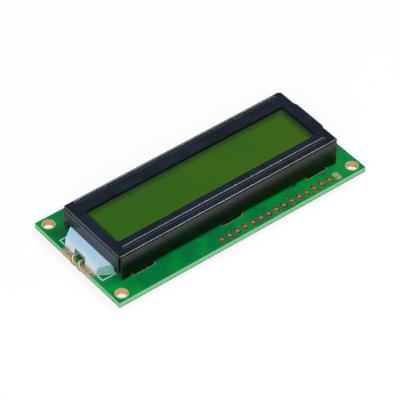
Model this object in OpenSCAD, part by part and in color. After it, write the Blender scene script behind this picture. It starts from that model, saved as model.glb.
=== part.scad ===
// Character LCD module: a blank two-line display on a green board, under a stamped
// steel bezel, lit from one end by a lamp in the nose of its light guide.
// Millimetres. The origin is the centre of the four mounting holes, on the underside
// of the board. +X runs away from the lamp, +Y away from the row of header holes,
// and +Z out of the display.

/* [Board] */
// Length of the circuit board
board_l = 80; // [76:0.5:100]
// Width of the circuit board
board_w = 36; // [34:0.5:44]
// Thickness of the circuit board
board_t = 1.6; // [1:0.1:2.4]
// Thickness of the copper and of the plating in the holes
copper_t = 0.05; // [0.03:0.01:0.08]
// Distance from the board's edges to the centre of each mounting hole
hole_inset = 2.5; // [2.3:0.1:3]
// Finished diameter of the mounting holes
hole_d = 3; // [2:0.1:3.2]
// Width of the copper ring around each mounting hole
ring_w = 0.3; // [0.2:0.05:0.7]

/* [Header] */
// Number of header holes
pin_count = 16; // [8:1:18]
// Distance between neighbouring header holes
pin_pitch = 2.54; // [2.2:0.02:2.6]
// Finished diameter of the header holes
pin_hole_d = 1; // [0.7:0.05:1.1]
// Distance from the board's right-hand edge to the first header hole
pin_inset_x = 8; // [6.5:0.25:10]
// Distance from the board's near edge to the row of header holes
pin_inset_y = 2; // [1.6:0.1:2.2]
// Width of a header pad, along the row
pin_pad_w = 1.55; // [1.5:0.05:1.95]
// Length of a header pad, across the row
pin_pad_l = 2.6; // [2:0.1:2.8]

/* [Bezel] */
// Width of the board that shows at each end of the bezel
margin_x = 4.4; // [4:0.1:6]
// Width of the board that shows along each long side of the bezel
margin_y = 5.9; // [5.2:0.1:8]
// Height of the bezel's face above the board
bezel_h = 8.1; // [7.5:0.1:10]
// Thickness of the steel sheet
sheet_t = 0.5; // [0.4:0.05:0.6]
// Inner radius of the folds
fold_r = 0.2; // [0.1:0.05:0.4]
// Distance by which each wall stops short of the outer corner
corner_gap = 0.8; // [0.75:0.05:0.9]
// Width of the bezel's face at each end of the window
rim_x = 3.35; // [3:0.05:6]
// Width of the bezel's face along each long side of the window
rim_y = 5.05; // [4.6:0.05:6]
// Radius of the window's corners
window_r = 1; // [0.5:0.1:2]

/* [Bezel walls] */
// Height of the long walls' lower edge above the board, between the feet and tabs
wall_relief = 1.05; // [0.5:0.05:2]
// Height of the lamp-end wall's lower edge above the board
lamp_wall_relief = 2.2; // [0.5:0.1:3]
// Width of the lamp-end wall's two legs, beside the opening for the nose
lamp_leg_w = 1.4; // [0.8:0.1:1.8]
// Gap between a slot's copper and the foot at the end of the wall
foot_gap = 0.2; // [0.1:0.05:1]
// Length of the bulge over the cell's filling port
bulge_l = 10.2; // [8:0.2:14]
// Depth of that bulge
bulge_out = 0.4; // [0.3:0.05:0.45]

/* [Bezel tabs] */
// Tabs on each long side
tab_count = 3; // [2:1:4]
// Distance from the bezel's ends to the centre of the outer tabs
tab_inset = 7.5; // [6:0.1:10]
// Offset of the row of tabs towards the far end
tab_shift = 0.2; // [-0.2:0.1:0.2]
// Width of a tab where it enters its slot
tab_w = 5.8; // [4:0.1:6.4]
// Width of the neck inside the board
tab_neck_w = 2; // [1.2:0.1:3]
// Width of the head under the board
tab_head_w = 4.4; // [3.4:0.1:4.8]
// Height of the head under the board
tab_head_h = 1.1; // [0.9:0.05:1.3]
// Twist of the head, which locks the bezel on
tab_twist = 30; // [20:1:40]

/* [Bezel grooves] */
// Distance from the bezel's ends to the two grooves that press the display down
groove_end = 2.9; // [2.4:0.1:5]
// Offset of the grooves towards the far end
groove_shift = 0.3; // [0:0.1:0.4]
// Width of a groove between its rounded lips
groove_w = 1.05; // [0.9:0.05:1.1]
// Depth of a groove
groove_d = 0.25; // [0.24:0.01:0.35]
// Distance from the bezel's edge to the groove on the header side
groove_near_edge = 2.6; // [1.2:0.05:2.8]
// Distance from the bezel's edge to the groove on the other side
groove_far_edge = 1.2; // [1.2:0.05:2.8]

/* [Display] */
// Thickness of each glass plate
glass_t = 1.1; // [0.7:0.05:1.1]
// Gap between the glass and the inside of the bezel
glass_gap = 0.1; // [0.05:0.05:0.2]
// Width of the strip of front glass that carries the contacts
contact_ledge = 2.2; // [2:0.1:2.4]
// Thickness of the layer between the two plates
cell_gap = 0.05; // [0.03:0.01:0.1]
// Width of the seal round that layer
seal_w = 1; // [0.6:0.1:1.2]
// Thickness of each polarizing film
film_t = 0.18; // [0.1:0.02:0.2]
// Distance by which the front film reaches past the window
film_lap = 1.1; // [0.4:0.1:1.2]
// Gap between the rear film and the frame round it
film_gap = 0.5; // [0.1:0.05:0.8]
// Length of the cured plug on the filling port
plug_l = 6; // [3:0.5:7]
// Gap between that plug and the bulge in the bezel
plug_gap = 0.1; // [0.05:0.05:0.2]
// Distance from the glass's ends to the contact strips
strip_inset = 2; // [1:0.25:5]
// Gap between a contact strip and the parts beside it
strip_gap = 0.2; // [0.1:0.05:0.4]
// Distance between neighbouring contact fingers
finger_pitch = 1.3; // [0.8:0.1:2.6]

/* [Backlight] */
// Thickness of the frame's side walls
frame_wall = 0.7; // [0.5:0.05:1]
// Thickness of the frame's end walls
frame_end = 1; // [0.6:0.1:1.2]
// Gap between the frame and the bezel's ends
frame_gap = 0.2; // [0.1:0.05:0.4]
// Gap between the light guide and the frame
guide_gap = 0.1; // [0.05:0.01:0.2]
// Thickness of the diffuser
diffuser_t = 0.3; // [0.15:0.05:0.5]
// Gap between the diffuser and the rear film
diffuser_gap = 0.1; // [0.05:0.05:0.3]
// Thickness of the reflector under the guide
reflector_t = 0.2; // [0.1:0.05:0.3]
// Thickness of the nose over the lamp's pocket
nose_roof = 0.25; // [0.15:0.05:0.5]
// Rise of the nose from its front to where it leaves the bezel
nose_rise = 0.85; // [0.4:0.05:1.2]
// Distance by which each side of the nose narrows towards its front
nose_taper = 2; // [0.5:0.1:3]
// Distance by which each side of the guide widens in the frame's open end
guide_flare = 0.6; // [0.4:0.05:0.65]
// Distance from the board's edge to the top of the nose's front
nose_inset = 1.6; // [1.5:0.1:2]
// Lean of the nose's front
nose_lean = 0.4; // [0:0.05:0.5]

/* [Lamp] */
// Offset of the lamp from the board's middle line
lamp_y = 0.45; // [-1:0.05:1]
// Width of the lamp's clear body
lamp_w = 3.8; // [3.4:0.1:4.4]
// Height of the lamp's clear body
lamp_h = 1.5; // [1.2:0.05:1.55]
// Depth of the lamp's clear body
lamp_d = 1.2; // [0.8:0.1:1.4]
// Height of the lamp above the board
lamp_lift = 0.65; // [0.3:0.05:0.7]
// Gap around the lamp in the nose's pocket
lamp_gap = 0.3; // [0.15:0.05:0.4]
// Distance between the lamp's two legs
leg_pitch = 2.6; // [2.2:0.1:2.9]
// Width of a leg
leg_w = 0.5; // [0.3:0.05:0.6]
// Thickness of a leg
leg_t = 0.3; // [0.2:0.05:0.35]
// Length of a leg under the board
leg_tail = 0.7; // [0.55:0.05:0.9]
// Finished radius of the notches in the board's edge that take the legs
notch_r = 0.6; // [0.55:0.05:0.7]
// Gap between the lamp's two pads and the foot of the nose
lamp_pad_gap = 0.1; // [0.05:0.05:0.3]
// Distance from the sides of the nose's front to the outer ends of the lamp's pads
lamp_pad_inset = 0.1; // [0:0.1:1]

/* [Lamp outline] */
// Width of the printed line round the nose
print_w = 0.35; // [0.2:0.05:0.45]
// Thickness of the ink
print_t = 0.03; // [0.02:0.01:0.05]
// Distance from the guide's sides to the outer edge of the printed lines beside it
print_side = 0.7; // [0.5:0.1:1.2]
// Gap between the printed line and the nose or the frame
print_gap = 0.3; // [0.2:0.05:0.5]

/* [Rear] */
// Distance between the two drops of black resin over the chips
dome_pitch = 30; // [24:1:34]
// Radius of a drop
dome_r = 7.5; // [6:0.1:8]
// Height of a drop
dome_h = 0.95; // [0.6:0.05:1]
// Distance from the bezel's long walls to the rows of small parts
chip_row_inset = 3.15; // [2.6:0.05:4]
// Length of a resistor or capacitor
chip_l = 2; // [1.6:0.1:2.1]
// Width of a resistor or capacitor
chip_w = 1.25; // [0.8:0.05:1.4]
// Height of a resistor
resistor_h = 0.5; // [0.35:0.05:0.6]
// Height of a capacitor
capacitor_h = 0.8; // [0.6:0.05:0.85]
// Length of the metal cap at each end of a resistor or capacitor
cap_l = 0.4; // [0.25:0.05:0.5]

/* [Hidden] */
$fn = 48;
fine = 360;

// A small overreach for cuts, and a lap for pieces of one solid.
over = 0.2;
lap = 1;

// Heights, from the board up to the bezel's face, with the display pressed down by the grooves.
face_z = board_t + bezel_h;
sheet_z = face_z - sheet_t;
glass_z = sheet_z - groove_d;
cell_z = glass_z - glass_t;
rear_glass_z = cell_z - cell_gap;
frame_z = rear_glass_z - glass_t;
rear_film_z = frame_z - film_t;
diffuser_z = rear_film_z - diffuser_gap - diffuser_t;
guide_z = board_t + reflector_t;

// Slots for the bezel's tabs: wide enough for the sheet, and long enough for the tab's corners.
slot_gap = 0.15;
slot_w = sheet_t + 2 * slot_gap;
slot_l = tab_w + slot_w;
slot_rim = 0.4;
tab_seat = 0.1;
tab_entry = 0.4;

// Plan sizes.
bezel_l = board_l - 2 * margin_x;
bezel_w = board_w - 2 * margin_y;
window_l = bezel_l - 2 * rim_x;
window_w = bezel_w - 2 * rim_y;
groove_l = bezel_l - 2 * groove_end;
groove_near_y = bezel_w / 2 - groove_near_edge;
groove_far_y = bezel_w / 2 - groove_far_edge;
fold_out_r = fold_r + sheet_t;
wall_y = (bezel_w - sheet_t) / 2;
long_wall_end_x = bezel_l / 2 - corner_gap;
tab_end_x = bezel_l / 2 - tab_inset;
tab_pitch = 2 * tab_end_x / (tab_count - 1);
foot_l = long_wall_end_x - tab_end_x - abs(tab_shift) - slot_l / 2 - slot_rim - foot_gap;
inner_l = bezel_l - 2 * sheet_t;
inner_w = bezel_w - 2 * sheet_t;
glass_l = inner_l - 2 * glass_gap;
glass_w = inner_w - 2 * glass_gap;
rear_glass_w = glass_w - 2 * contact_ledge;
strip_l = glass_l - 2 * strip_inset;
strip_w = contact_ledge - strip_gap;
strip_y = (glass_w - strip_w) / 2;
finger_count = floor(strip_l / finger_pitch);
finger_inner_y = strip_y - strip_w / 2 + strip_gap;
finger_outer_y = wall_y - slot_w / 2 - slot_rim - strip_gap;
frame_l = inner_l - 2 * frame_gap;
well_l = frame_l - 2 * frame_end;
well_w = rear_glass_w - 2 * frame_wall;
guide_w = well_w - 2 * guide_gap;
guide_end_x = well_l / 2 - guide_gap;
nose_x = -board_l / 2 + nose_inset;
nose_foot_x = nose_x - nose_lean;
nose_front_w = guide_w - 2 * nose_taper;
lamp_pad_w = nose_foot_x - lamp_pad_gap + board_l / 2;
lamp_pad_end = nose_front_w / 2 - lamp_pad_inset;
hole_x = board_l / 2 - hole_inset;
hole_y = board_w / 2 - hole_inset;
pin_one_x = board_l / 2 - pin_inset_x;
pin_y = -board_w / 2 + pin_inset_y;

// The lamp stands in a pocket in the front of the nose, and its legs turn down at the board's edge.
pocket_w = lamp_w + 2 * lamp_gap;
pocket_h = lamp_lift + lamp_h + lamp_gap / 2;
nose_front_h = pocket_h + nose_roof;
nose_slope = nose_rise / (-bezel_l / 2 - nose_x);
slope_end_x = nose_x + (diffuser_z - board_t - nose_front_h) / nose_slope;
diffuser_x = max(slope_end_x, -well_l / 2 + guide_gap);
bar_z = min(diffuser_z, board_t + nose_front_h + nose_slope * (-well_l / 2 - nose_x)) + guide_gap;
lamp_x = nose_x + lamp_gap;
pocket_end_x = lamp_x + lamp_d + lamp_gap;
leg_h = lamp_lift + leg_t;
leg_edge_gap = 0.1;
leg_x = -board_l / 2 + leg_edge_gap;
solder_r = 1.1;
solder_h = 0.45;
blob_r = 0.5;
blob_h = 0.3;
blob_x = -board_l / 2 + lamp_pad_w / 2;
blob_ys = [4.2, -4.9];

// The guide widens to a round ear at each side of the frame's open end, over the printed line.
ear_r = 0.5;
ear_x = -well_l / 2 - guide_gap - ear_r;
ear_y = guide_w / 2 + guide_flare - ear_r;

// A groove's floor and lips are arcs of one radius, and the arc of its underside reaches the lips' ends.
groove_r = (pow(groove_w / 2, 2) + pow(groove_d, 2)) / (4 * groove_d);

// One plated through hole in line with the tabs on the header side, inwards of the last.
via_inset = 7.3;
via_x = tab_shift + tab_end_x - via_inset;
via_d = 0.7;
via_ring = 0.25;

// Small parts on the rear: two rows between the drops of resin, and three parts at the ends.
chip_row_y = wall_y - chip_row_inset;
chip_end_inset = 8;
chip_end_x = board_l / 2 - chip_end_inset;
chip_side_y = 3;
chip_pitch = 4;
near_resistors = [for (i = [-1 : 2]) [i * chip_pitch, -chip_row_y]];
far_resistors = [for (i = [-1 : 1]) [i * chip_pitch, chip_row_y]];
resistor_places = concat(near_resistors, far_resistors, [[chip_end_x, chip_side_y]]);
capacitor_places = [
    [-2 * chip_pitch, -chip_row_y], [2 * chip_pitch, chip_row_y],
    [-chip_end_x, -chip_side_y], [chip_end_x, -chip_side_y]
];

// Straight bar with round ends along X, from z = 0 to h.
module stadium(l, w, h) {
    translate([-(l - w) / 2, -w / 2, 0]) cube([l - w, w, h]);
    for (side = [-1, 1]) translate([side * (l - w) / 2, 0, 0]) cylinder(d = w, h = h);
}

// Plate with round corners, centred, from z = 0 to h.
module round_plate(l, w, r, h) {
    translate([-l / 2 + r, -w / 2, 0]) cube([l - 2 * r, w, h]);
    translate([-l / 2, -w / 2 + r, 0]) cube([l, w - 2 * r, h]);
    for (x = [-1, 1], y = [-1, 1])
        translate([x * (l / 2 - r), y * (w / 2 - r), 0]) cylinder(r = r, h = h);
}

// Flat plate, centred in plan, from z = 0 to h.
module flat_plate(l, w, h) {
    translate([-l / 2, -w / 2, 0]) cube([l, w, h]);
}

// Bar of the given section along X with round ends. The section lies across it, with its middle at x = 0.
module round_ended(l) {
    reach = (l - groove_w) / 2;
    rotate([90, 0, 90]) linear_extrude(2 * reach, center = true) children();
    for (side = [-1, 1]) translate([side * reach, 0, 0]) rotate_extrude() intersection() {
        children();
        translate([0, -groove_w]) square(2 * groove_w);
    }
}

// Section of a groove's hollow: y = 0 is the face, and the lips curve down to a round floor.
module groove_hollow() {
    half = groove_w / 2;
    intersection() {
        translate([0, groove_r - groove_d]) circle(r = groove_r, $fn = fine);
        translate([-half, -groove_d]) square([groove_w, groove_d / 2]);
    }
    difference() {
        translate([-half, -groove_d / 2]) square([groove_w, groove_d / 2 + over]);
        for (side = [-1, 1]) translate([side * half, -groove_r]) circle(r = groove_r, $fn = fine);
    }
}

// Section of the ridge that a groove makes under the sheet: y = 0 is the underside.
module groove_ridge() {
    intersection() {
        translate([0, 2 * groove_r - groove_d]) circle(r = 2 * groove_r, $fn = fine);
        translate([-groove_w / 2, -groove_d]) square([groove_w, groove_d]);
    }
}

// Round drop lying on z = 0, of radius a and height h.
module drop(a, h) {
    r = (a * a + h * h) / (2 * h);
    rotate_extrude() intersection() {
        translate([0, h - r]) circle(r = r, $fn = fine);
        square([a, h]);
    }
}

// Plated through hole: the ring on each face and the barrel, with the child as the ring's outline.
module plated(inner_d) {
    difference() {
        union() {
            for (z = [-copper_t, board_t]) translate([0, 0, z]) children();
            cylinder(d = inner_d + 2 * copper_t, h = board_t);
        }
        translate([0, 0, -over]) cylinder(d = inner_d, h = board_t + 2 * over);
    }
}

module at_mounting_holes() {
    for (x = [-1, 1], y = [-1, 1]) translate([x * hole_x, y * hole_y, 0]) children();
}

module at_header_holes(first, last) {
    for (i = [first : last]) translate([pin_one_x - i * pin_pitch, pin_y, 0]) children();
}

// The child at each tab, turned so that its -Y side faces out of the bezel.
module at_tabs() {
    for (side = [-1, 1], i = [0 : tab_count - 1])
        translate([tab_shift + (i - (tab_count - 1) / 2) * tab_pitch, side * wall_y, 0])
            rotate(side < 0 ? 0 : 180) children();
}

module at_leg_notches() {
    for (side = [-1, 1]) translate([-board_l / 2, lamp_y + side * leg_pitch / 2, 0]) children();
}

module at_rear(places) {
    for (p = places) translate([p[0], p[1], -copper_t]) mirror([0, 0, 1]) children();
}

module pcb() {
    color("#0f8f4a") difference() {
        flat_plate(board_l, board_w, board_t);
        translate([0, 0, -over]) {
            h = board_t + 2 * over;
            at_mounting_holes() cylinder(d = hole_d + 2 * copper_t, h = h);
            at_header_holes(0, pin_count - 1) cylinder(d = pin_hole_d + 2 * copper_t, h = h);
            at_tabs() stadium(slot_l + 2 * copper_t, slot_w + 2 * copper_t, h);
            at_leg_notches() cylinder(r = notch_r + copper_t, h = h);
            translate([via_x, -wall_y, 0]) cylinder(d = via_d + 2 * copper_t, h = h);
        }
    }
}

module mounting_hole_plating() {
    color("#cd9664") at_mounting_holes() plated(hole_d)
        cylinder(d = hole_d + 2 * ring_w, h = copper_t);
}

module header_pads() {
    color("#a07850") at_header_holes(1, pin_count - 1) plated(pin_hole_d)
        rotate(90) stadium(pin_pad_l, pin_pad_w, copper_t);
}

// The first pad is square, so that the row can be told end from end.
module pin_one_pad() {
    color("#c8c8a0") at_header_holes(0, 0) plated(pin_hole_d)
        flat_plate(pin_pad_w, pin_pad_l, copper_t);
}

module slot_pads() {
    color("#b9c8b4") at_tabs() difference() {
        union() {
            for (z = [-copper_t, board_t]) translate([0, 0, z])
                stadium(slot_l + 2 * slot_rim, slot_w + 2 * slot_rim, copper_t);
            stadium(slot_l + 2 * copper_t, slot_w + 2 * copper_t, board_t);
        }
        translate([0, 0, -over]) stadium(slot_l, slot_w, board_t + 2 * over);
    }
}

module via_pad() {
    color("#a07850") translate([via_x, -wall_y, 0]) plated(via_d)
        cylinder(d = via_d + 2 * via_ring, h = copper_t);
}

// Two rows of fingers on the board, one under each contact strip.
module contact_fingers() {
    finger_l = finger_outer_y - finger_inner_y;
    finger_y = (finger_outer_y + finger_inner_y) / 2;
    color("#cdaa5f") for (side = [-1, 1], i = [0 : finger_count - 1])
        translate([(i - (finger_count - 1) / 2) * finger_pitch, side * finger_y, board_t])
            flat_plate(finger_pitch / 2, finger_l, copper_t);
}

// Two pads that wrap the board's edge, each with a half-round plated notch for a leg.
module lamp_pads() {
    edge = -board_l / 2;
    inner_end = leg_pitch / 2 - notch_r - copper_t - over;
    color("#b49b64") for (side = [-1, 1]) {
        y_in = lamp_y + side * inner_end;
        y_out = side * lamp_pad_end;
        y_low = min(y_in, y_out);
        y_len = abs(y_out - y_in);
        translate([0, lamp_y + side * leg_pitch / 2, 0]) difference() {
            union() {
                translate([0, -lamp_y - side * leg_pitch / 2, 0]) difference() {
                    translate([edge - copper_t, y_low, -copper_t])
                        cube([lamp_pad_w + copper_t, y_len, board_t + 2 * copper_t]);
                    translate([edge, y_low - over, 0]) cube([board_l, y_len + 2 * over, board_t]);
                }
                intersection() {
                    translate([edge, 0, 0]) cylinder(r = notch_r + copper_t, h = board_t);
                    translate([edge, -board_w / 2, 0]) cube([board_l, board_w, board_t]);
                }
            }
            translate([edge, 0, -over]) cylinder(r = notch_r, h = board_t + 2 * over);
        }
    }
}

// Printed line on three sides of the nose.
module lamp_outline() {
    front_x = nose_x - print_w;
    end_x = -well_l / 2 - print_gap;
    inner_y = nose_front_w / 2 + print_gap;
    print_y = guide_w / 2 + print_side;
    color("#bff0e0") for (side = [0, 1]) mirror([0, side, 0]) translate([0, 0, board_t]) {
        translate([front_x, inner_y, 0]) cube([print_w, print_y - inner_y, print_t]);
        translate([front_x, print_y - print_w, 0]) cube([end_x - front_x, print_w, print_t]);
    }
}

// Section of a folded edge: the origin is the sharp outer corner, x runs outwards and y up.
// The face reaches in by lap, and the wall reaches down by drop_h.
module fold_section(drop_h) {
    intersection() {
        translate([-fold_out_r, -fold_out_r]) difference() {
            circle(r = fold_out_r);
            circle(r = fold_r);
        }
        translate([-fold_out_r, -fold_out_r]) square(fold_out_r);
    }
    translate([-fold_out_r - lap, -sheet_t]) square([lap, sheet_t]);
    translate([-sheet_t, -drop_h]) square([sheet_t, drop_h - fold_out_r]);
}

// Length of folded wall along Y, with its outer face at x = out, from y0 to y1.
module end_wall(out, y0, y1, drop_h) {
    translate([out, y1, face_z]) rotate([90, 0, 0]) linear_extrude(y1 - y0) fold_section(drop_h);
}

module long_wall() {
    end_x = long_wall_end_x;
    rotate(-90) end_wall(bezel_w / 2, -end_x, end_x, bezel_h - wall_relief);
    for (side = [-1, 1]) translate([side * (end_x - foot_l / 2), -wall_y, board_t])
        flat_plate(foot_l, sheet_t, wall_relief + lap);
}

// Tab that drops into its slot, narrows to a neck, and ends in a twisted head under the board.
module tab() {
    top = board_t - tab_entry;
    translate([0, 0, top]) flat_plate(tab_w, sheet_t, tab_entry + wall_relief + lap);
    translate([0, 0, -tab_seat - sheet_t]) flat_plate(tab_neck_w, sheet_t, top + tab_seat + 2 * sheet_t);
    translate([0, 0, -tab_seat - tab_head_h]) rotate(tab_twist)
        flat_plate(tab_head_w, sheet_t, tab_head_h);
}

// Wall over the filling port: the middle stands out by bulge_out, with stepped shoulders.
module bulged_wall() {
    half = bezel_w / 2 - corner_gap;
    drop_h = bezel_h - wall_relief;
    step = 0.3;
    steps = 3;
    flat_half = bulge_l / 2;
    end_wall(bezel_l / 2 + bulge_out, -flat_half, flat_half, drop_h);
    for (i = [1 : steps - 1], side = [-1, 1]) {
        a = side * (flat_half + (i - 1) * step);
        b = side * (flat_half + i * step);
        end_wall(bezel_l / 2 + bulge_out * (1 - i / steps), min(a, b), max(a, b), drop_h);
    }
    shoulder = flat_half + (steps - 1) * step;
    end_wall(bezel_l / 2, shoulder, half, drop_h);
    end_wall(bezel_l / 2, -half, -shoulder, drop_h);
}

// Wall at the lamp end, open where the nose comes out.
module nose_wall() {
    half = bezel_w / 2 - corner_gap;
    opening_h = nose_front_h + nose_rise + nose_slope * sheet_t + guide_gap;
    opening_w = 2 * (half - lamp_leg_w);
    opening_r = 0.8;
    difference() {
        mirror([1, 0, 0]) end_wall(bezel_l / 2, -half, half, bezel_h - lamp_wall_relief);
        translate([-bezel_l / 2, 0, board_t]) rotate([90, 0, 90]) linear_extrude(2 * lap, center = true) {
            translate([-opening_w / 2, -over]) square([opening_w, opening_h - opening_r + over]);
            translate([-opening_w / 2 + opening_r, 0]) square([opening_w - 2 * opening_r, opening_h]);
            for (side = [-1, 1]) translate([side * (opening_w / 2 - opening_r), opening_h - opening_r])
                circle(r = opening_r);
        }
    }
}

module at_grooves() {
    for (y = [-groove_near_y, groove_far_y]) translate([groove_shift, y, 0]) children();
}

module bezel() {
    color("#1e262e") {
        difference() {
            union() {
                translate([0, 0, sheet_z])
                    round_plate(bezel_l - 2 * fold_out_r, bezel_w - 2 * fold_out_r, corner_gap, sheet_t);
                for (side = [0, 180]) rotate(side) long_wall();
                bulged_wall();
                nose_wall();
                translate([0, 0, sheet_z]) at_grooves() round_ended(groove_l) groove_ridge();
            }
            translate([0, 0, sheet_z - over]) round_plate(window_l, window_w, window_r, sheet_t + 2 * over);
            translate([0, 0, face_z]) at_grooves() round_ended(groove_l) groove_hollow();
        }
        at_tabs() tab();
    }
}

module front_polarizer() {
    color("#3b6617") translate([0, 0, glass_z])
        flat_plate(window_l + 2 * film_lap, window_w + 2 * film_lap, film_t);
}

module front_glass() {
    color("#b9d2c8", 0.6) translate([0, 0, cell_z]) flat_plate(glass_l, glass_w, glass_t);
}

module cell_seal() {
    color("#d7d7c8") translate([0, 0, rear_glass_z]) difference() {
        flat_plate(glass_l, rear_glass_w, cell_gap);
        translate([0, 0, -over])
            flat_plate(glass_l - 2 * seal_w, rear_glass_w - 2 * seal_w, cell_gap + 2 * over);
    }
}

module crystal_layer() {
    color("#6e8c32") translate([0, 0, rear_glass_z])
        flat_plate(glass_l - 2 * seal_w, rear_glass_w - 2 * seal_w, cell_gap);
}

module rear_glass() {
    color("#b9d2c8", 0.6) translate([0, 0, frame_z]) flat_plate(glass_l, rear_glass_w, glass_t);
}

module rear_polarizer() {
    color("#7d9b3c") translate([0, 0, rear_film_z])
        flat_plate(well_l - 2 * film_gap, well_w - 2 * film_gap, film_t);
}

// Half-round bead of cured resin on the right-hand ends of the two plates.
module fill_port_plug() {
    plug_r = glass_gap + bulge_out - plug_gap;
    color("#e6dcaa") intersection() {
        translate([glass_l / 2, plug_l / 2, cell_z]) rotate([90, 0, 0]) cylinder(r = plug_r, h = plug_l);
        translate([glass_l / 2, -plug_l, frame_z]) cube([lap, 2 * plug_l, 2 * glass_t + cell_gap]);
    }
}

module contact_strip() {
    low = board_t + copper_t;
    translate([0, strip_y, low]) flat_plate(strip_l, strip_w, cell_z - low);
}

module contact_strip_near() {
    color("#5a5f64") mirror([0, 1, 0]) contact_strip();
}

module contact_strip_far() {
    color("#5a5f64") contact_strip();
}

// Moulded frame round the guide, open at the lamp end under a bar that carries the glass.
module backlight_frame() {
    color("#e6e8e4") difference() {
        translate([0, 0, board_t]) flat_plate(frame_l, rear_glass_w, frame_z - board_t);
        translate([0, 0, board_t - over]) flat_plate(well_l, well_w, frame_z);
        translate([-frame_l / 2 - over, -rear_glass_w / 2 - over, board_t - over])
            cube([frame_end + over, rear_glass_w + 2 * over, bar_z - board_t + over]);
    }
}

module diffuser() {
    color("#f0f2ee") translate([diffuser_x, -guide_w / 2, diffuser_z])
        cube([guide_end_x - diffuser_x, guide_w, diffuser_t]);
}

// Outline of the reflector in plan: straight inside the bezel, tapering along the nose.
module reflector_outline() {
    wall_x = -bezel_l / 2;
    polygon([
        [guide_end_x, -guide_w / 2], [guide_end_x, guide_w / 2],
        [wall_x, guide_w / 2], [nose_foot_x, nose_front_w / 2],
        [nose_foot_x, -nose_front_w / 2], [wall_x, -guide_w / 2]
    ]);
}

// Block of height h with the guide's outline: the reflector's, with sides that run out to the two ears.
module guide_block(h) {
    front = [nose_foot_x, nose_front_w / 2];
    way = [ear_x, ear_y] - front;
    angle = atan2(way[1], way[0]) + asin(ear_r / norm(way));
    touch = [ear_x, ear_y] + ear_r * [-sin(angle), cos(angle)];
    back_x = ear_x + ear_r;
    linear_extrude(h) reflector_outline();
    for (side = [0, 1]) mirror([0, side, 0]) {
        linear_extrude(h)
            polygon([front, touch, [ear_x, ear_y], [back_x, ear_y], [back_x, 0], [nose_foot_x, 0]]);
        translate([ear_x, ear_y, 0]) cylinder(r = ear_r, h = h);
    }
}

module lamp_pocket() {
    translate([-board_l / 2 - over, lamp_y - pocket_w / 2, board_t - over])
        cube([pocket_end_x + board_l / 2 + over, pocket_w, pocket_h + over]);
}

// Clear block under the whole display, with a wedge-shaped nose out to the lamp.
module light_guide() {
    front_z = board_t + nose_front_h;
    color("#b4d2eb", 0.8) difference() {
        intersection() {
            translate([0, 0, guide_z]) guide_block(diffuser_z - guide_z);
            rotate([90, 0, 0]) linear_extrude(2 * guide_w, center = true) polygon([
                [nose_foot_x, guide_z], [guide_end_x + over, guide_z], [guide_end_x + over, diffuser_z],
                [slope_end_x, diffuser_z], [nose_x, front_z]
            ]);
        }
        lamp_pocket();
    }
}

module reflector() {
    color("#fafafa") difference() {
        translate([0, 0, board_t]) linear_extrude(reflector_t) reflector_outline();
        lamp_pocket();
    }
}

module lamp() {
    color("#96b4a0", 0.7) translate([lamp_x, lamp_y - lamp_w / 2, board_t + lamp_lift])
        cube([lamp_d, lamp_w, lamp_h]);
}

// Two flat legs: out of the lamp, then down through the notches in the board's edge.
module lamp_legs() {
    color("#d2d2b9") for (side = [-1, 1])
        translate([leg_x, lamp_y + side * leg_pitch / 2 - leg_w / 2, 0]) {
            translate([0, 0, board_t + lamp_lift]) cube([lamp_x - leg_x, leg_w, leg_t]);
            translate([0, 0, -leg_tail]) cube([leg_t, leg_w, leg_tail + board_t + leg_h]);
        }
}

// Solder cone under each notch, with the leg through it.
module leg_solder() {
    color("#b9b9b4") difference() {
        intersection() {
            at_leg_notches() translate([0, 0, -copper_t - solder_h])
                cylinder(r1 = notch_r, r2 = solder_r, h = solder_h);
            translate([-board_l / 2, -board_w / 2, -board_t]) cube([board_l, board_w, board_t]);
        }
        lamp_legs();
    }
}

module pad_solder() {
    color("#e6cd96") for (y = blob_ys) translate([blob_x, y, board_t + copper_t]) drop(blob_r, blob_h);
}

module controller_dome() {
    color("#101010") mirror([0, 0, 1]) translate([-dome_pitch / 2, 0, 0]) drop(dome_r, dome_h);
}

module driver_dome() {
    color("#101010") mirror([0, 0, 1]) translate([dome_pitch / 2, 0, 0]) drop(dome_r, dome_h);
}

// Copper lands under the ends of the small parts.
module rear_pads() {
    land_rim = 0.1;
    land_l = cap_l + 4 * land_rim;
    land_w = chip_w + 2 * land_rim;
    color("#c8c8c8") for (p = concat(resistor_places, capacitor_places), side = [-1, 1])
        translate([p[0] + side * (chip_l / 2 - cap_l + land_l / 2), p[1], -copper_t])
            flat_plate(land_l, land_w, copper_t);
}

module chip_bodies(places, h) {
    at_rear(places) flat_plate(chip_l - 2 * cap_l, chip_w, h);
}

module chip_caps(places, h) {
    for (side = [-1, 1]) at_rear(places) translate([side * (chip_l - cap_l) / 2, 0, 0])
        flat_plate(cap_l, chip_w, h);
}

module resistors() {
    color("#1c1c20") chip_bodies(resistor_places, resistor_h);
}

module resistor_caps() {
    color("#c8c8cd") chip_caps(resistor_places, resistor_h);
}

module capacitors() {
    color("#a08c6e") chip_bodies(capacitor_places, capacitor_h);
}

module capacitor_caps() {
    color("#c8c8cd") chip_caps(capacitor_places, capacitor_h);
}

pcb();
mounting_hole_plating();
header_pads();
pin_one_pad();
slot_pads();
via_pad();
contact_fingers();
lamp_pads();
lamp_outline();
bezel();
front_polarizer();
front_glass();
cell_seal();
crystal_layer();
rear_glass();
rear_polarizer();
fill_port_plug();
contact_strip_near();
contact_strip_far();
backlight_frame();
diffuser();
light_guide();
reflector();
lamp();
lamp_legs();
leg_solder();
pad_solder();
controller_dome();
driver_dome();
rear_pads();
resistors();
resistor_caps();
capacitors();
capacitor_caps();
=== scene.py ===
"""The looks of the character LCD module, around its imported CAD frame.

It dresses the CAD's pieces, adds the tracks under the board, and sets up the floor, the lamps and the
camera. Metres, +Z up, with the sizes below in millimetres.
"""
import math

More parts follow.
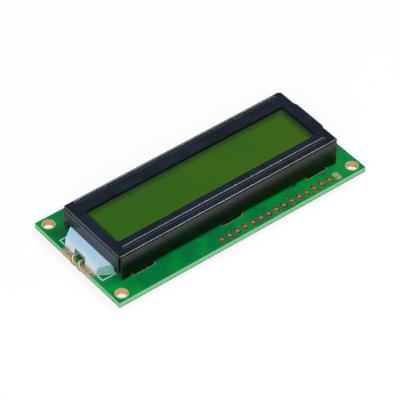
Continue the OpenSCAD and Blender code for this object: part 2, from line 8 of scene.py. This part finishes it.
import bmesh
import bpy
from mathutils import Matrix, Vector


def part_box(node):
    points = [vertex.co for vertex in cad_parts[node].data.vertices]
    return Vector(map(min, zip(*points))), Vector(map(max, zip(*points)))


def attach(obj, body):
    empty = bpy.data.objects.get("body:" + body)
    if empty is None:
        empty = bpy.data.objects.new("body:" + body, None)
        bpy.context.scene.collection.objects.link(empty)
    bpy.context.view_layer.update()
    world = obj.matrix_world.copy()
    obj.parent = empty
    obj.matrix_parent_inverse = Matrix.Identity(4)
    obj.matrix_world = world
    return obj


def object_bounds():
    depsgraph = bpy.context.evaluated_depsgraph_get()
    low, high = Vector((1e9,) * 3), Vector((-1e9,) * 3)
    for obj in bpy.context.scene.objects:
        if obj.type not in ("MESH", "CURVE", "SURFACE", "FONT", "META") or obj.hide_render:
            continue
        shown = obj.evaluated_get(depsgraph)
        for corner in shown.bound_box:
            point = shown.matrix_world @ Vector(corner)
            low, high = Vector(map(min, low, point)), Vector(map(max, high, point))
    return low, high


MM = 0.001

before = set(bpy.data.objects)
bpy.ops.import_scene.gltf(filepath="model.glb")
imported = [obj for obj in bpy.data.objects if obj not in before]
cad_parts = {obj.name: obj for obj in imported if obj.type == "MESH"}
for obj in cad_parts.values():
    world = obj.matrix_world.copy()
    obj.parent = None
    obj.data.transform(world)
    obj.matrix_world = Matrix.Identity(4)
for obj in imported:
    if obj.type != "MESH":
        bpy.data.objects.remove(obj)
cad_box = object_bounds()


# ---------------------------------------------------------------- sizes, in millimetres


def measured(node):
    """Half length, half width and top of a node's box."""
    low, high = (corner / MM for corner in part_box(node))
    return (high.x - low.x) / 2, (high.y - low.y) / 2, high.z


# The outer faces of the bezel's walls. The bulge in its right-hand end and the heads of its tabs stand out
# past them.
WALL_X, WALL_Y = 35.6, 12.1
SHEET_T = 0.5
FACE_Z = measured("bezel")[2]

# Middle lines of the pressed grooves. They reach equally far to both sides of a middle that lies
# a little to the right, and end there in half circles.
GROOVE_NEAR_Y, GROOVE_FAR_Y = -9.5, 10.9
GROOVE_MIDDLE_X, GROOVE_REACH = 0.3, 32.175

# Painted highlights, as light lines: how far their two sides lie from a groove's middle line, and from
# the outer face of a wall.
LIP_HIGHLIGHT = 0.4, 0.5
BEND_HIGHLIGHT = 0.4, 0.52
LINE_SOFT = 0.04

# Half length and width of the bezel's window. The display's film laps under the bezel all round it.
FILM_LAP = 1.1
WINDOW_X, WINDOW_Y = (half - FILM_LAP for half in measured("front_polarizer")[:2])

# Outer faces of the moulded frame's long sides, and the upper edge of the light guide's front.
MOULDING_Y = measured("backlight_frame")[1]
NOSE_FRONT_TOP = 4.2

# Copper tracks on the underside. Those from the header start under its pads, and most of them end
# under a dome.
HEADER_PITCH, HEADER_HOLES = 2.54, 16
TRACK_W, RAIL_W, TRACK_H, TRACK_SINK = 0.26, 0.6, 0.04, 0.02
PAD_END, DOME_END = -15.0, -5.0


# ---------------------------------------------------------------- shader nodes


def srgb(red, green, blue):
    """A colour as a screen shows it, 0 to 255, turned into the linear values that shaders take."""
    parts = [c / 255 for c in (red, green, blue)]
    return tuple(c / 12.92 if c <= 0.04045 else ((c + 0.055) / 1.055) ** 2.4 for c in parts) + (1.0,)


class NodeTree:
    """A shader's nodes, with a short method for each sum that the looks are made of."""

    def __init__(self, tree):
        self.nodes = tree.nodes
        self.links = tree.links

    def feed(self, socket, value):
        """Sets a socket to a constant, or links it to another node's output."""
        if isinstance(value, bpy.types.NodeSocket):
            self.links.new(value, socket)
        else:
            socket.default_value = value

    def math(self, operation, first, second=0.0):
        node = self.nodes.new("ShaderNodeMath")
        node.operation = operation
        self.feed(node.inputs[0], first)
        self.feed(node.inputs[1], second)
        return node.outputs[0]

    def times(self, first, second):
        return self.math("MULTIPLY", first, second)

    def plus(self, first, second):
        return self.math("ADD", first, second)

    def minus(self, first, second):
        return self.math("SUBTRACT", first, second)

    def larger(self, first, second):
        return self.math("MAXIMUM", first, second)

    def smaller(self, first, second):
        return self.math("MINIMUM", first, second)

    def unsigned(self, value):
        return self.math("ABSOLUTE", value)

    def part(self, vector, letter):
        """The X, Y or Z of a vector."""
        node = self.nodes.new("ShaderNodeSeparateXYZ")
        self.links.new(vector, node.inputs[0])
        return node.outputs[letter]

    def rise(self, value, low, high):
        """0 below low, 1 above high, smooth between. With low over high it falls."""
        node = self.nodes.new("ShaderNodeMapRange")
        node.interpolation_type = "SMOOTHSTEP"
        self.feed(node.inputs["Value"], value)
        node.inputs["From Min"].default_value = low
        node.inputs["From Max"].default_value = high
        return node.outputs["Result"]

    def band(self, value, low, high, soft):
        """1 between low and high, with edges that fade over soft."""
        up = self.rise(value, low - soft, low + soft)
        down = self.rise(value, high + soft, high - soft)
        return self.times(up, down)

    def blend(self, factor, low, high):
        """A number that goes from low to high as factor goes from 0 to 1."""
        return self.plus(self.times(factor, high - low), low)

    def mix(self, factor, first, second):
        """A colour that goes from first to second as factor goes from 0 to 1."""
        node = self.nodes.new("ShaderNodeMix")
        node.data_type = "RGBA"
        self.feed(node.inputs["Factor"], factor)
        self.feed(node.inputs["A"], first)
        self.feed(node.inputs["B"], second)
        return node.outputs["Result"]


class Look(NodeTree):
    """One material's node tree. Places are in millimetres in the shared frame."""

    def __init__(self, name, color, roughness, metallic=0.0, **sockets):
        self.material = bpy.data.materials.new(name)
        self.material.use_nodes = True
        super().__init__(self.material.node_tree)
        self.surface = self.nodes["Principled BSDF"]
        self.set("Base Color", color)
        self.set("Roughness", roughness)
        self.set("Metallic", metallic)
        for socket, value in sockets.items():
            self.set(socket.replace("_", " "), value)
        coordinates = self.nodes.new("ShaderNodeTexCoord")
        scale = self.nodes.new("ShaderNodeVectorMath")
        scale.operation = "SCALE"
        scale.inputs["Scale"].default_value = 1 / MM
        self.links.new(coordinates.outputs["Object"], scale.inputs[0])
        self.place = scale.outputs[0]
        self.normal = coordinates.outputs["Normal"]

    def set(self, socket, value):
        self.feed(self.surface.inputs[socket], value)

    def axis(self, letter):
        """The X, Y or Z of the place."""
        return self.part(self.place, letter)

    def faces(self, letter, low=0.8, high=0.9):
        """1 on surfaces that look along an axis, either way, and 0 on those that lie along it."""
        return self.rise(self.unsigned(self.part(self.normal, letter)), low, high)

    def noise(self, size, detail=3.0, stretch=(1, 1, 1), roughness=0.5):
        """Noise from 0 to 1 whose features are about size millimetres, longer along an axis by stretch."""
        mapping = self.nodes.new("ShaderNodeMapping")
        mapping.inputs["Scale"].default_value = [1 / (size * s) for s in stretch]
        self.links.new(self.place, mapping.inputs["Vector"])
        node = self.nodes.new("ShaderNodeTexNoise")
        node.inputs["Scale"].default_value = 1.0
        node.inputs["Detail"].default_value = detail
        node.inputs["Roughness"].default_value = roughness
        self.links.new(mapping.outputs[0], node.inputs["Vector"])
        return node.outputs["Fac"]

    def bump(self, height, depth):
        """Bends the surface's normal as if height, 0 to 1, stood out by depth millimetres."""
        node = self.nodes.new("ShaderNodeBump")
        node.inputs["Distance"].default_value = depth * MM
        self.links.new(height, node.inputs["Height"])
        self.set("Normal", node.outputs["Normal"])


def level_faces(look):
    """1 on faces that look up or down, 0 on upright ones."""
    return look.faces("Z", 0.4, 0.6)


# ---------------------------------------------------------------- materials of more than one kind of piece


def plain(name, dark, light, size, roughness, **sockets):
    """A moulded or pressed surface whose colour wanders between two tones."""
    look = Look(name, light, roughness, **sockets)
    tone = look.noise(size, 4)
    look.set("Base Color", look.mix(look.rise(tone, 0.3, 0.7), dark, light))
    look.bump(look.noise(size / 4, 3), 0.008)
    return look.material


def tinned(name, dark, light, roughness):
    """Tin or solder: metal with a slightly frosted skin."""
    look = Look(name, light, roughness, 1.0)
    frost = look.rise(look.noise(0.25, 4, roughness=0.6), 0.35, 0.65)
    look.set("Base Color", look.mix(frost, dark, light))
    look.set("Roughness", look.blend(frost, roughness, roughness + 0.15))
    look.bump(frost, 0.008)
    return look.material


# ---------------------------------------------------------------- materials of the board


def solder_mask():
    """Green mask over glass cloth and copper on the faces, bare laminate on the cut edges."""
    look = Look("solder_mask", srgb(0, 130, 66), 0.2, IOR=1.4)
    low, high = (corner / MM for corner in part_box("pcb"))
    z = look.axis("Z")
    patches = look.rise(look.noise(9, 2), 0.42, 0.6)
    mask = look.mix(patches, srgb(0, 124, 64), srgb(0, 148, 60))
    cloth = look.noise(0.35, 1, (3, 1, 1))
    mask = look.mix(look.blend(cloth, 0.0, 0.2), mask, srgb(0, 104, 54))
    fibres = look.noise(0.09, 2, (30, 30, 1))
    edge = look.mix(fibres, srgb(96, 180, 122), srgb(146, 222, 168))
    edge = look.mix(look.rise(z, high.z - 0.45, high.z - 0.25), edge, srgb(126, 206, 148))
    burr = look.rise(look.noise(0.6, 3, (1, 1, 0.2)), 0.45, 0.6)
    bottom = look.rise(z, low.z + 0.5, low.z + 0.3)
    edge = look.mix(look.times(bottom, look.blend(burr, 0.55, 0.95)), edge, srgb(126, 98, 78))
    flat = level_faces(look)
    look.set("Base Color", look.mix(flat, edge, mask))
    look.set("Roughness", look.blend(flat, 0.75, 0.2))
    look.bump(look.plus(cloth, look.noise(1.6, 2)), 0.012)
    return look.material


def plated_copper(name, bright, dull, barrel, roughness, metallic):
    """Plated copper whose faces carry blotches of tarnish, and whose barrels are matt."""
    look = Look(name, bright, roughness, metallic)
    tarnish = look.rise(look.noise(0.5, 4, roughness=0.65), 0.4, 0.62)
    flat = level_faces(look)
    look.set("Base Color", look.mix(flat, barrel, look.mix(tarnish, bright, dull)))
    look.set("Roughness", look.blend(flat, 0.7, roughness))
    look.set("Metallic", look.blend(flat, 0.2 * metallic, metallic))
    look.bump(look.noise(0.12, 3), 0.006)
    return look.material


def white_ink():
    """Screen print: thin ink that lets the green through in patches."""
    look = Look("white_ink", srgb(200, 240, 226), 0.6)
    thin = look.rise(look.noise(0.25, 3), 0.5, 0.72)
    look.set("Base Color", look.mix(thin, srgb(186, 255, 238), srgb(130, 226, 202)))
    look.bump(look.noise(0.1, 2), 0.01)
    return look.material


def black_resin():
    """Drop of cured resin: smooth, with a few slow waves from its flow."""
    look = Look("black_resin", srgb(16, 16, 18), 0.2, Coat_Weight=0.4, Coat_Roughness=0.06)
    look.set("Base Color", look.mix(look.noise(2, 3), srgb(12, 12, 14), srgb(24, 24, 26)))
    look.bump(look.noise(2.5, 2), 0.06)
    return look.material


# ---------------------------------------------------------------- materials of the bezel


def groove_distance(look):
    """How far a place lies from the nearer groove's middle line.

    The second value is 1 on the far side of that line and 0 on its near side.
    """
    x, y = look.axis("X"), look.axis("Y")
    beside = look.minus(y, look.blend(look.rise(y, -1, 1), GROOVE_NEAR_Y, GROOVE_FAR_Y))
    off_centre = look.unsigned(look.minus(x, GROOVE_MIDDLE_X))
    past_end = look.larger(look.minus(off_centre, GROOVE_REACH), 0.0)
    squares = look.plus(look.times(past_end, past_end), look.times(beside, beside))
    return look.math("SQRT", squares), look.rise(beside, -0.3, 0.3)


def cut_ends(look, end_walls, long_walls):
    """1 on the ends of the sheet at the bezel's open corners, where each wall stops short."""
    x, y = look.unsigned(look.axis("X")), look.unsigned(look.axis("Y"))
    inner_x, inner_y = WALL_X - SHEET_T, WALL_Y - SHEET_T
    of_long_walls = look.times(end_walls, look.rise(y, inner_y - 0.1, inner_y + 0.1))
    of_end_walls = look.times(long_walls, look.rise(x, inner_x - 0.1, inner_x + 0.1))
    inside_long_walls = look.rise(y, inner_y + 0.1, inner_y)
    return look.larger(of_long_walls, look.times(of_end_walls, inside_long_walls))


def bend_highlights(look):
    """1 on painted highlights: thin lines along the folds of the lamp end and of both long sides."""
    to_end = look.plus(look.axis("X"), WALL_X)
    to_side = look.minus(WALL_Y, look.unsigned(look.axis("Y")))
    line = look.band(look.smaller(to_end, to_side), *BEND_HIGHLIGHT, LINE_SOFT)
    on_top = look.rise(look.axis("Z"), FACE_Z - 0.3, FACE_Z - 0.2)
    return look.times(line, on_top)


def black_steel():
    """Black coating on a stamped sheet.

    Painted reflection makes the long walls light just under the fold, and painted shade makes them near
    black lower down and dark in the grooves. The end walls carry a painted blue-grey reflection. Painted
    highlights run along the grooves' lips, brightest on each far lip, and along the folds. The sheet's cut
    ends are bare and brown.
    """
    look = Look("black_steel", srgb(20, 26, 32), 0.2, IOR=1.43)
    grain = look.noise(0.07, 2)
    cloud = look.noise(6, 3)
    end_walls, long_walls = look.faces("X"), look.faces("Y")

    coat = look.mix(look.rise(cloud, 0.35, 0.65), srgb(19, 28, 38), srgb(26, 37, 49))
    # Painted reflection and painted shade: the long walls run from light grey just under the fold to near
    # black low down.
    painted_reflection_high_on_wall = look.rise(look.axis("Z"), FACE_Z - 3.8, FACE_Z - 0.8)
    coat = look.mix(long_walls, coat, look.mix(painted_reflection_high_on_wall, srgb(3, 4, 4), srgb(48, 50, 48)))
    # Painted reflection: both end walls get a lighter blue-grey tint.
    coat = look.mix(end_walls, coat, srgb(32, 44, 54))

    to_groove, far_lip = groove_distance(look)
    lip_inner, lip_outer = LIP_HIGHLIGHT
    # Painted shade: the grooves come out dark inside.
    in_groove = look.rise(to_groove, lip_inner, lip_inner - 0.06)
    coat = look.mix(in_groove, coat, srgb(6, 11, 18))
    # Painted highlights: light lines on the grooves' lips, brightest on each groove's far lip.
    painted_lip_highlights = look.times(look.band(to_groove, lip_inner, lip_outer, LINE_SOFT), look.blend(far_lip, 0.3, 1.0))
    coat = look.mix(look.times(painted_lip_highlights, look.blend(cloud, 0.5, 1.0)), coat, srgb(156, 176, 196))
    # Painted highlights along the folds.
    coat = look.mix(look.times(bend_highlights(look), look.blend(cloud, 0.3, 0.7)), coat, srgb(118, 120, 118))

    look.set("Base Color", look.mix(cut_ends(look, end_walls, long_walls), coat, srgb(58, 54, 50)))
    dull = look.larger(look.times(long_walls, 0.1), look.times(in_groove, 0.4))
    look.set("Roughness", look.plus(look.blend(grain, 0.17, 0.25), dull))
    look.bump(look.noise(0.6, 2), 0.002)
    return look.material


# ---------------------------------------------------------------- materials of the display and its light


def display_film():
    """Blank yellow-green display with painted light along its near side.

    Painted shade from the rim darkens its far and right-hand sides and, a little, its left one. Right
    under the rim, a painted black shadow line runs along the far and right-hand sides.
    """
    look = Look("display_film", srgb(54, 100, 18), 0.12, IOR=1.45)
    x, y = look.axis("X"), look.axis("Y")
    spread = look.rise(look.noise(22, 1), 0.35, 0.65)
    green = look.mix(spread, srgb(50, 98, 18), srgb(58, 100, 12))

    to_near, to_far = look.plus(y, WINDOW_Y), look.minus(WINDOW_Y, y)
    to_left, to_right = look.plus(x, WINDOW_X), look.minus(WINDOW_X, x)
    # Painted light along the near side.
    painted_light_near = look.rise(to_near, 1.4, 0.2)
    green = look.mix(look.times(painted_light_near, 0.5), green, srgb(72, 116, 6))
    # Painted shade along the left side, fading out towards the near corner.
    left = look.times(look.rise(to_left, 1.3, 0.2), look.rise(to_near, 1, 4))
    green = look.mix(look.times(left, 0.6), green, srgb(26, 56, 22))
    # Painted shade from the rim on the far and right-hand sides.
    far, right = look.rise(to_far, 3.2, 0.5), look.rise(to_right, 3.2, 0.6)
    green = look.mix(look.larger(look.times(far, 0.8), look.times(right, 0.9)), green, srgb(26, 50, 30))
    # Painted shadow: a black line right under the rim on the far and right-hand sides.
    painted_shadow_under_rim = look.larger(look.rise(to_far, 0.9, 0.3), look.rise(to_right, 0.8, 0.3))
    green = look.mix(painted_shadow_under_rim, green, srgb(6, 12, 8))

    look.set("Base Color", green)
    look.bump(look.noise(0.05, 1), 0.0008)
    return look.material


def glass(name, tint):
    """Clear glass with painted shade on its upright edges, which come out near black."""
    look = Look(name, tint, 0.03, Transmission_Weight=0.9, IOR=1.52)
    # Painted shade: the upright faces are near black.
    look.set("Base Color", look.mix(level_faces(look), srgb(26, 32, 30), tint))
    look.bump(look.noise(4, 1), 0.001)
    return look.material


def striped_rubber():
    """Contact strip: many thin dark conducting layers between grey ones."""
    look = Look("striped_rubber", srgb(96, 98, 100), 0.65)
    pair_of_layers = 0.2
    wave = look.math("SINE", look.times(look.axis("X"), math.tau / pair_of_layers))
    look.set("Base Color", look.mix(look.rise(wave, -0.2, 0.2), srgb(52, 52, 52), srgb(12, 12, 13)))
    look.bump(look.rise(wave, -0.4, 0.4), 0.01)
    return look.material


def light_guide_acrylic():
    """Pale blue on top and white at its moulded front; its teal ends carry painted light."""
    look = Look("light_guide_acrylic", srgb(180, 208, 232), 0.35, IOR=1.49)
    end = look.faces("Y", 0.5, 0.7)
    front = look.rise(look.part(look.normal, "X"), -0.6, -0.85)
    brush = look.noise(0.5, 3, (1, 8, 1))
    top = look.mix(brush, srgb(184, 224, 252), srgb(202, 234, 255))
    # The ends' own teal tint, made brighter with painted light for the light the block carries through it.
    ends_with_painted_light = look.mix(look.noise(1.2, 2), srgb(116, 178, 176), srgb(150, 206, 200))
    face = look.mix(look.noise(0.8, 3, (1, 2, 1)), srgb(214, 226, 238), srgb(228, 238, 250))
    edge_line = look.band(look.axis("Z"), NOSE_FRONT_TOP - 0.35, NOSE_FRONT_TOP - 0.2, 0.08)
    face = look.mix(look.times(edge_line, 0.7), face, srgb(150, 160, 172))
    look.set("Base Color", look.mix(front, look.mix(end, top, ends_with_painted_light), face))
    look.bump(brush, 0.006)
    return look.material


def moulding_with_painted_shade():
    """White frame with painted shade, near black, on its long outer sides."""
    look = Look("moulding_with_painted_shade", srgb(230, 232, 230), 0.45)
    tone = look.noise(1.2, 4)
    outer = look.rise(look.unsigned(look.axis("Y")), MOULDING_Y - 0.2, MOULDING_Y - 0.1)
    # Painted shade: the long outer sides are near black.
    painted_shade_sides = look.times(look.faces("Y"), outer)
    painted_shade_black = look.mix(tone, srgb(10, 10, 11), srgb(22, 22, 24))
    white = look.mix(tone, srgb(214, 218, 214), srgb(240, 242, 240))
    look.set("Base Color", look.mix(painted_shade_sides, white, painted_shade_black))
    look.bump(look.noise(0.3, 3), 0.008)
    return look.material


def clear_epoxy():
    """The lamp's cast body: hazy and a little yellow."""
    look = Look("clear_epoxy", srgb(196, 206, 172), 0.12, Transmission_Weight=0.35, IOR=1.5)
    look.bump(look.noise(0.4, 2), 0.01)
    return look.material


# ---------------------------------------------------------------- dressing the nodes


def dress(names, material):
    """Gives the named nodes a material all over."""
    for name in names:
        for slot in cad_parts[name].material_slots:
            slot.material = material


def dress_board():
    gold = plated_copper("gold_plating", bright=srgb(214, 216, 150), dull=srgb(176, 196, 124),
                         barrel=srgb(232, 182, 134), roughness=0.5, metallic=0.4)
    copper = plated_copper("pad_copper", bright=srgb(186, 140, 112), dull=srgb(120, 84, 66),
                           barrel=srgb(222, 188, 156), roughness=0.4, metallic=0.9)
    lamp_pad_gold = plated_copper("lamp_pad_gold", bright=srgb(216, 200, 160), dull=srgb(160, 140, 106),
                                  barrel=srgb(190, 174, 146), roughness=0.4, metallic=0.7)
    pin_one_tin = plated_copper("pin_one_tin", bright=srgb(206, 222, 176), dull=srgb(172, 192, 146),
                                barrel=srgb(244, 200, 172), roughness=0.6, metallic=0.8)
    tinned_copper = plated_copper("tinned_copper", bright=srgb(120, 176, 124), dull=srgb(44, 124, 70),
                                  barrel=srgb(110, 120, 90), roughness=0.4, metallic=0.4)
    dress(["pcb"], solder_mask())
    dress(["mounting_hole_plating", "contact_fingers"], gold)
    dress(["header_pads"], copper)
    # The via is under mask, and painted shade makes it darker than the mask round it.
    dress(["via_pad"], plain("covered_via_in_painted_shade", srgb(8, 70, 36), srgb(20, 96, 52), 0.5, 0.4))
    dress(["lamp_pads"], lamp_pad_gold)
    dress(["pin_one_pad"], pin_one_tin)
    dress(["slot_pads", "rear_pads"], tinned_copper)
    dress(["lamp_outline"], white_ink())


def dress_display():
    dress(["bezel"], black_steel())
    dress(["front_polarizer"], display_film())
    dress(["front_glass", "rear_glass"], glass("float_glass", srgb(206, 226, 216)))
    dress(["cell_seal"], plain("seal_resin", srgb(190, 190, 170), srgb(220, 220, 205), 0.6, 0.5))
    dress(["crystal_layer"], plain("crystal", srgb(96, 124, 40), srgb(116, 146, 56), 5, 0.3))
    dress(["rear_polarizer"], plain("rear_film", srgb(110, 140, 48), srgb(130, 160, 66), 5, 0.3))
    port_resin = plain("port_resin", srgb(214, 196, 140), srgb(236, 224, 180), 0.5, 0.2,
                       Transmission_Weight=0.4)
    dress(["fill_port_plug"], port_resin)
    dress(["contact_strip_near", "contact_strip_far"], striped_rubber())


def dress_backlight():
    dress(["backlight_frame"], moulding_with_painted_shade())
    dress(["diffuser"], plain("diffuser_film", srgb(226, 228, 226), srgb(244, 244, 242), 0.5, 0.7))
    dress(["light_guide"], light_guide_acrylic())
    dress(["reflector"], plain("white_film", srgb(232, 232, 230), srgb(250, 250, 250), 1.0, 0.3))
    dress(["lamp"], clear_epoxy())
    dress(["lamp_legs"], tinned("leg_tin", srgb(236, 228, 186), srgb(252, 248, 220), 0.5))


def dress_solder_and_chips():
    solder = tinned("solder", srgb(150, 150, 146), srgb(206, 206, 202), 0.22)
    dress(["leg_solder", "resistor_caps", "capacitor_caps"], solder)
    dress(["pad_solder"], tinned("pad_tin", srgb(226, 206, 150), srgb(250, 240, 205), 0.3))
    dress(["controller_dome", "driver_dome"], black_resin())
    dress(["resistors"], plain("resistor_glaze", srgb(16, 16, 20), srgb(36, 36, 42), 0.4, 0.3))
    dress(["capacitors"], plain("capacitor_ceramic", srgb(140, 118, 88), srgb(172, 148, 116), 0.4, 0.55))


# ---------------------------------------------------------------- tracks on the underside


def header_holes():
    """X of the header's oblong holes, from the square pad's neighbour to the lamp end."""
    square_pad = sum(corner.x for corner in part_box("pin_one_pad")) / 2 / MM
    return [square_pad - HEADER_PITCH * i for i in range(1, HEADER_HOLES)]


def by_lane(x, lane, drop):
    """Out of the header's pad at x to a lane, and along it to the place where the track turns off."""
    return [(x, PAD_END), (x, lane), (drop, lane)]


def track_lines():
    """Middle lines of the narrow tracks: from the header's holes to the domes, and from dome to dome."""
    holes = header_holes()
    round_controller, beside_via, straight = holes[:3], holes[3], holes[4:8]
    beside_chip, between_chips, to_driver = holes[8], holes[9], holes[10:]
    lines = []
    for step, x in enumerate(round_controller):
        lane, drop, bend = -13.1 - 0.45 * step, 24.1 - 0.7 * step, -6 - 0.3 * step
        lines.append(by_lane(x, lane, drop) + [(drop, bend), (drop - 4, bend + 4)])
    lines.append([(beside_via, PAD_END), (beside_via, -6.9), (beside_via - 4, -2.9)])
    for x in straight:
        lines.append([(x, PAD_END), (x, DOME_END)])
    jog = 0.9
    lines.append([(beside_chip, PAD_END), (beside_chip, -12), (beside_chip + jog, -12 + jog),
                  (beside_chip + jog, DOME_END)])
    lines.append([(between_chips, PAD_END), (between_chips, -7.2), (between_chips + 2.9, -4.3)])
    for step, x in enumerate(to_driver):
        lane, drop = -13 - 0.35 * step, -10.2 - 1.1 * step
        lines.append(by_lane(x, lane, drop) + [(drop, DOME_END)])
    between_domes = range(-3, 4)
    return lines + [[(-8.6, y), (8.6, y)] for y in between_domes]


def rail_lines():
    """Middle lines of the wide tracks."""
    to_lamp_pads = [
        [(-39.2, -3.6), (-35, -3.6), (-34.4, -3), (-32.9, -3)],
        [(-39.2, 3.8), (-24.5, 3.8), (-21.5, 0.8)],
    ]
    to_end_chips = [
        [(-31.1, -3), (-21, -3)],
        [(31.1, -3), (21.5, -3)],
        [(31.1, 3), (21, 3)],
    ]
    along_chip_rows = [
        [(-9.4, 10.3), (9.4, 10.3)],
        [(-9.4, -10.3), (5.6, -10.3)],
    ]
    return to_lamp_pads + to_end_chips + along_chip_rows


def add_ribbon(mesh, line, width):
    """A flat strip along a bent line on the underside, mitred at its bends and sunk a little into it."""
    points = [Vector(point) for point in line]
    rings = []
    for i, point in enumerate(points):
        before = point - points[i - 1] if i > 0 else points[1] - point
        after = points[i + 1] - point if i < len(points) - 1 else before
        along = (before.normalized() + after.normalized()).normalized()
        reach = width / 2 / along.dot(after.normalized())
        across = Vector((-along.y, along.x)) * reach
        ring = [(point + across, TRACK_SINK), (point - across, TRACK_SINK),
                (point - across, -TRACK_H), (point + across, -TRACK_H)]
        rings.append([mesh.verts.new(Vector((place.x, place.y, z)) * MM) for place, z in ring])
    for ring, following in zip(rings, rings[1:]):
        for a in range(len(ring)):
            b = (a + 1) % len(ring)
            mesh.faces.new((ring[a], ring[b], following[b], following[a]))
    mesh.faces.new(rings[0][::-1])
    mesh.faces.new(rings[-1])


def make_tracks():
    """All tracks as one piece: low ridges in the mask, too fine for the CAD model."""
    mesh = bmesh.new()
    for line in track_lines():
        add_ribbon(mesh, line, TRACK_W)
    for line in rail_lines():
        add_ribbon(mesh, line, RAIL_W)
    bmesh.ops.recalc_face_normals(mesh, faces=mesh.faces)
    data = bpy.data.meshes.new("rear_tracks")
    mesh.to_mesh(data)
    mesh.free()
    data.materials.append(plain("masked_copper", srgb(10, 148, 74), srgb(30, 166, 84), 1.5, 0.2, IOR=1.4))
    tracks = bpy.data.objects.new("rear_tracks", data)
    bpy.context.scene.collection.objects.link(tracks)
    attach(tracks, "root")


# ---------------------------------------------------------------- studio


def floor_material():
    """Pale floor: the camera, mirrors and glass see it near white, and it keeps a soft shadow."""
    look = Look("floor", (0.95, 0.95, 0.95, 1), 0.9)
    rays = look.nodes.new("ShaderNodeLightPath").outputs
    seen = look.larger(rays["Is Camera Ray"], rays["Is Glossy Ray"])
    seen = look.larger(seen, rays["Is Transmission Ray"])
    glow = look.nodes.new("ShaderNodeEmission")
    mixer = look.nodes.new("ShaderNodeMixShader")
    glow_share = 0.8
    look.feed(mixer.inputs["Fac"], look.times(seen, glow_share))
    look.feed(mixer.inputs[1], look.surface.outputs[0])
    look.feed(mixer.inputs[2], glow.outputs[0])
    look.feed(look.nodes["Material Output"].inputs["Surface"], mixer.outputs[0])
    return look.material


def make_floor(height):
    """One large square at a height, which the module stands on."""
    mesh = bpy.data.meshes.new("floor")
    size = 3.0
    corners = [(-size, -size, height), (size, -size, height), (size, size, height), (-size, size, height)]
    mesh.from_pydata(corners, [], [(0, 1, 2, 3)])
    floor = bpy.data.objects.new("floor", mesh)
    floor.data.materials.append(floor_material())
    bpy.context.scene.collection.objects.link(floor)


def make_world():
    """White for the camera. In reflections a white backdrop stands low on the far side under a dim roof."""
    world = bpy.data.worlds.new("studio")
    bpy.context.scene.world = world
    world.use_nodes = True
    sky = NodeTree(world.node_tree)
    direction = sky.nodes.new("ShaderNodeTexCoord").outputs["Generated"]
    rays = sky.nodes.new("ShaderNodeLightPath").outputs
    ambient, roof, near_side = 0.3, 0.12, 0.16
    low_down = sky.blend(sky.rise(sky.part(direction, "Z"), 0.1, 0.4), 1.0, roof)
    far_side = sky.blend(sky.rise(sky.part(direction, "Y"), -0.25, 0.15), near_side, 1.0)
    mirrored = sky.minus(sky.times(low_down, far_side), ambient)
    reflected = sky.larger(rays["Is Glossy Ray"], rays["Is Transmission Ray"])
    strength = sky.plus(sky.times(reflected, mirrored), ambient)
    background = sky.nodes["Background"]
    sky.feed(background.inputs["Strength"], sky.larger(strength, rays["Is Camera Ray"]))
    sky.feed(background.inputs["Color"], (1, 1, 1, 1))


def make_softbox(name, direction, spread, level, mirrored=True):
    """Round soft lamp that shines from direction, as wide as spread degrees to each side of its middle.

    Level is how bright its disk looks. One that isn't mirrored lights the object and stays out of
    reflections.
    """
    distance = 0.6
    radius = distance * math.tan(math.radians(spread))
    area = math.pi * radius ** 2
    light = bpy.data.lights.new(name, "AREA")
    light.shape = "DISK"
    light.size = 2 * radius
    light.energy = level * math.pi * area
    lamp = bpy.data.objects.new(name, light)
    away = Vector(direction).normalized()
    lamp.location = away * distance
    lamp.rotation_euler = away.to_track_quat("Z", "Y").to_euler()
    lamp.visible_glossy = mirrored
    bpy.context.scene.collection.objects.link(lamp)


def make_camera():
    """The camera stands off the near left corner and looks down at about 44 degrees."""
    azimuth, elevation, roll = (math.radians(a) for a in (-38.214, 43.962, 0.134))
    target = Vector((-3.486, -3.651, 4.6)) * MM
    distance = 0.7
    back = Vector((math.sin(azimuth) * math.cos(elevation), -math.cos(azimuth) * math.cos(elevation),
                   math.sin(elevation)))
    right = Vector((math.cos(azimuth), math.sin(azimuth), 0))
    up = back.cross(right)
    turn = Matrix((right, up, back)).transposed() @ Matrix.Rotation(roll, 3, "Z")
    data = bpy.data.cameras.new("camera")
    data.sensor_width = 36
    data.lens = 246.65
    data.clip_start = 0.01
    data.clip_end = 20
    camera = bpy.data.objects.new("camera", data)
    camera.matrix_world = Matrix.Translation(target + back * distance) @ turn.to_4x4()
    bpy.context.scene.collection.objects.link(camera)
    bpy.context.scene.camera = camera


dress_board()
dress_display()
dress_backlight()
dress_solder_and_chips()
make_tracks()
make_floor(cad_box[0][2])
make_world()
make_softbox("key", (0.445, -0.12, 0.88), spread=10, level=14.5)
make_softbox("rim", (-0.27, 0.59, 0.76), spread=6, level=10)
make_softbox("fill", (-0.55, -0.6, 0.58), spread=18, level=5, mirrored=False)
make_camera()
bpy.context.scene.view_settings.view_transform = "Standard"
